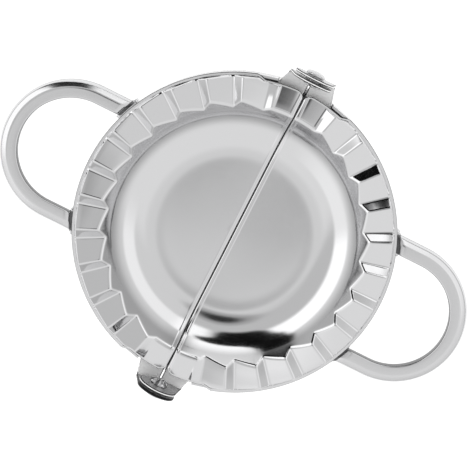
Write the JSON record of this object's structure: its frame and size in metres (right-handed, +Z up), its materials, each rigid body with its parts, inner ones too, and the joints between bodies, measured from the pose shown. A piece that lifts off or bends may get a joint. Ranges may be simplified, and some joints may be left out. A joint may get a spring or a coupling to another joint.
{
  "type": "dumpling press",
  "caption": "Folding steel press for filled dumplings: two half plates with pleated rims and half bowls, cutter skirts and loop handles, riveted together at a fold.",
  "frame": {"origin": "On the plane that the open press stands on, under the middle of the fold.", "axes": "+X runs across the fold toward the right half's handle, +Y along the fold toward the rear rivet, +Z up out of the bowls."},
  "size_m": [0.1486, 0.107, 0.0179],
  "materials": {
    "pleated_plate": "polished",
    "polished_sheet": "polished",
    "handle_strap": "satin",
    "rivet_steel": "satin"
  },
  "bodies": {
    "left_half": {"left_plate": "pleated_plate", "left_skirt": "polished_sheet", "left_outer_hinge_ear": "polished_sheet", "left_inner_hinge_ear": "polished_sheet", "left_handle": "handle_strap", "left_handle_foot_a": "handle_strap", "left_handle_foot_b": "handle_strap", "rear_rivet": "rivet_steel", "front_rivet": "rivet_steel"},
    "right_half": {"right_plate": "pleated_plate", "right_skirt": "polished_sheet", "right_outer_hinge_ear": "polished_sheet", "right_inner_hinge_ear": "polished_sheet", "right_handle": "handle_strap", "right_handle_foot_a": "handle_strap", "right_handle_foot_b": "handle_strap"}
  },
  "joints": [
    {"name": "fold_hinge", "type": "hinge", "parent": "left_half", "child": "right_half", "pos_m": [0, 0, 0.012], "axis": [0, -1, 0], "range_deg": [0, 180]}
  ]
}
